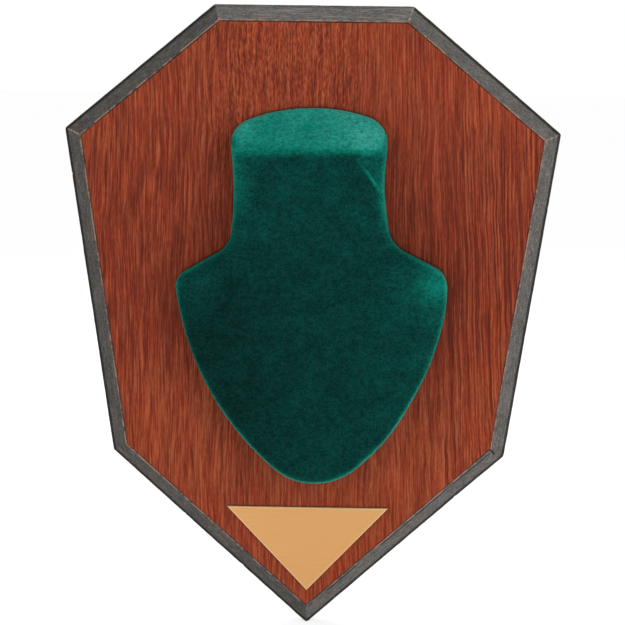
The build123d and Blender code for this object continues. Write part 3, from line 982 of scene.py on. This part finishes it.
def painted_light_at(vertex):
    """Painted light and sheen on the velvet: the slope lit from above, the neck's edges, the sides and the
    right, with painted highlight spots and a painted highlight on the crease.
    """
    across, drop = on_form(vertex.co)
    across, drop = across / MM, drop / MM
    uneven = 0.10 * noise.noise(vertex.co / (16 * MM))
    slope = smooth_step(vertex.normal.z + uneven, 0.20, 0.72) * (1 - smooth_step(drop, 30, 44))
    above_lip = 0.065 * bump_at(drop, 21, 3.5)
    tone = 0.078 + slope * (0.314 + 0.0015 * across + light_spots(SLOPE_SPOTS, across, drop) - above_lip)

    neck = smooth_step(drop, 12, 22)
    tone += 0.12 * smooth_step(-across, 24, 36) * neck * (1 - smooth_step(drop, 30, 66))
    tone += 0.06 * smooth_step(across, 31, 37) * neck * (1 - smooth_step(drop, 50, 80))
    tone += 0.09 * smooth_step(across, 30, 36) * bump_at(drop, 47, 9)
    tone += 0.03 * (1 - smooth_step(drop, 45, 80)) * (1 - slope)

    body = smooth_step(drop, 66, 90)
    tone += body * (0.042 * smooth_step(across, 5, 62) - 0.058 * smooth_step(-across, 0, 40))
    tone += light_spots(BODY_SPOTS, across, drop)
    side = 1 - smooth_step(-vertex.normal.y, 0.25, 0.85)
    tone += side * (0.06 * body + 0.20 * smooth_step(drop, 115, 160))

    share, off = crease_at(vertex.co)
    if 0 < share < 1:
        tone += 0.06 * smooth_step(off, 0.0, MM) * (1 - slope)
    return tone + 0.20 * crease_rise(vertex.co)


def store_painted_light(piece):
    """Writes the painted light at every point, for the velvet's material."""
    mesh = piece.data
    painted_light = mesh.attributes.new("painted_light", "FLOAT", "POINT")
    painted_light.data.foreach_set("value", [painted_light_at(vertex) for vertex in mesh.vertices])


# ---- Pieces and their finishes ----
def paint(piece, material):
    """Gives a new piece its one material."""
    piece.data.materials.clear()
    piece.data.materials.append(material)


def stand_for(piece, node, material):
    """Finishes a new piece, which stands for a CAD node on the plaque."""
    paint(piece, material)
    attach(piece, BODY)
    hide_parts(node)


def node_finishes():
    """The material of every CAD node that stays."""
    fine, drawn = (0.4, 0.4, 0.4), (0.2, 0.2, 6)
    zinc = metal("zinc_screw", srgb(200, 190, 162), srgb(174, 162, 130), fine, 0.32, seed=2.0)
    staple = metal("staple_wire", srgb(205, 205, 204), srgb(150, 150, 152), (0.3, 0.3, 3), 0.35, seed=4.0)
    steel = metal("hanger_steel", srgb(196, 193, 188), srgb(174, 171, 166), drawn, 0.30, seed=6.0)
    wire = metal("ring_wire", srgb(222, 220, 216), srgb(186, 184, 180), fine, 0.20, seed=8.0)
    back = plain_wood("back_veneer", srgb(190, 150, 108), srgb(150, 108, 70), ring=6, length=140, seed=1.4)
    block = plain_wood("block_wood", srgb(214, 178, 128), srgb(176, 128, 80), ring=4, length=100, seed=5.6)
    return {
        "face_veneer": mahogany(),
        "back_veneer": back,
        "form_block": block,
        "form_padding": foam(),
        "velvet_staples": staple,
        "form_screws": zinc,
        "hanger_screws": zinc,
        "engraving_plate": brass(),
        "plate_adhesive": adhesive(),
        "hanger_strap": steel,
        "hanger_ring": wire,
        "wall_bumpers": rubber(),
    }


stand_for(board_core(), "core_board", edge_paint())
stand_for(velvet_cover(), "velvet_cover", velvet())
for node, material in node_finishes().items():
    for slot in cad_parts[node].material_slots:
        slot.material = material

# ---- Stage ----
AMBIENT = 0.53
FLOOR_SIZE = 400.0
CAMERA_DISTANCE = 1.0
CAMERA_AZIMUTH = math.radians(0.90)
CAMERA_ELEVATION = math.radians(6.16)
CAMERA_ROLL = math.radians(0.75)
CAMERA_LENS = 118.3
SENSOR = 36.0
AIM = Vector((BOARD_MIDDLE.x + 1.2 * MM, FACE_LOW.y, BOARD_MIDDLE.z + 3.7 * MM))


def from_direction(azimuth, elevation):
    """The unit vector towards a viewer at this azimuth (0 is in front) and elevation."""
    level = math.cos(elevation)
    return Vector((math.sin(azimuth) * level, -math.cos(azimuth) * level, math.sin(elevation)))


def area_light(name, azimuth, elevation, distance, size, power, colour=(1, 1, 1)):
    """A square softbox aimed at the board."""
    lamp = bpy.data.lights.new(name, "AREA")
    lamp.size = size
    lamp.energy = power
    lamp.color = colour
    direction = from_direction(math.radians(azimuth), math.radians(elevation))
    light = bpy.data.objects.new(name, lamp)
    light.location = AIM + direction * distance
    light.rotation_euler = direction.to_track_quat("Z", "Y").to_euler()
    bpy.context.scene.collection.objects.link(light)


def white_world():
    """White for the camera, and a softer grey that lights the object."""
    world = bpy.data.worlds.new("studio")
    world.use_nodes = True
    tree = world.node_tree
    background = tree.nodes["Background"]
    path = tree.nodes.new("ShaderNodeLightPath")
    level = tree.nodes.new("ShaderNodeMapRange")
    level.inputs["To Min"].default_value = AMBIENT
    level.inputs["To Max"].default_value = 1.0
    tree.links.new(path.outputs["Is Camera Ray"], level.inputs["Value"])
    tree.links.new(level.outputs["Result"], background.inputs["Strength"])
    background.inputs["Color"].default_value = (1, 1, 1, 1)
    bpy.context.scene.world = world


def pale_floor():
    """A pale floor under the board's lowest point, bright to the camera and dimmer as a reflector."""
    mesh = bpy.data.meshes.new("floor")
    half = FLOOR_SIZE / 2
    corners = [(x * half, y * half, CORE_LOW.z) for x, y in ((-1, -1), (1, -1), (1, 1), (-1, 1))]
    mesh.from_pydata(corners, [], [(0, 1, 2, 3)])
    floor = bpy.data.objects.new("floor", mesh)
    bpy.context.scene.collection.objects.link(floor)
    s = Shader("pale_floor")
    camera_ray = s.node("LightPath").outputs["Is Camera Ray"]
    speck = s.noise((10, 10, 10), detail=2, seed=1.0)
    tone = s.times(s.step(speck, 0.3, 0.7, 0.84, 0.87), s.step(camera_ray, 0, 1, 0.80, 0.5))
    white = s.finish(
        base_color=s.shade((1.0, 1.0, 1.0), tone),
        roughness=0.9,
        specular_ior_level=0.0,
        emission_color=(1, 1, 1, 1),
        emission_strength=s.step(camera_ray, 0, 1, 0.30, 0.76),
    )
    paint(floor, white)


def camera():
    """The picture's viewpoint: a little above, looking almost straight at the board."""
    lens = bpy.data.cameras.new("camera")
    lens.lens = CAMERA_LENS
    lens.sensor_width = SENSOR
    eye = bpy.data.objects.new("camera", lens)
    direction = from_direction(CAMERA_AZIMUTH, CAMERA_ELEVATION)
    place = Matrix.Translation(AIM + direction * CAMERA_DISTANCE)
    turn = direction.to_track_quat("Z", "Y").to_matrix().to_4x4()
    eye.matrix_world = place @ turn @ Matrix.Rotation(CAMERA_ROLL, 4, "Z")
    bpy.context.scene.collection.objects.link(eye)
    bpy.context.scene.camera = eye


white_world()
pale_floor()
camera()
area_light("key", azimuth=42, elevation=8, distance=1.8, size=1.8, power=12.5)
area_light("fill", azimuth=-30, elevation=4, distance=1.8, size=1.8, power=7)
area_light("back", azimuth=200, elevation=35, distance=1.8, size=1.2, power=12)
bpy.context.scene.view_settings.view_transform = "Standard"
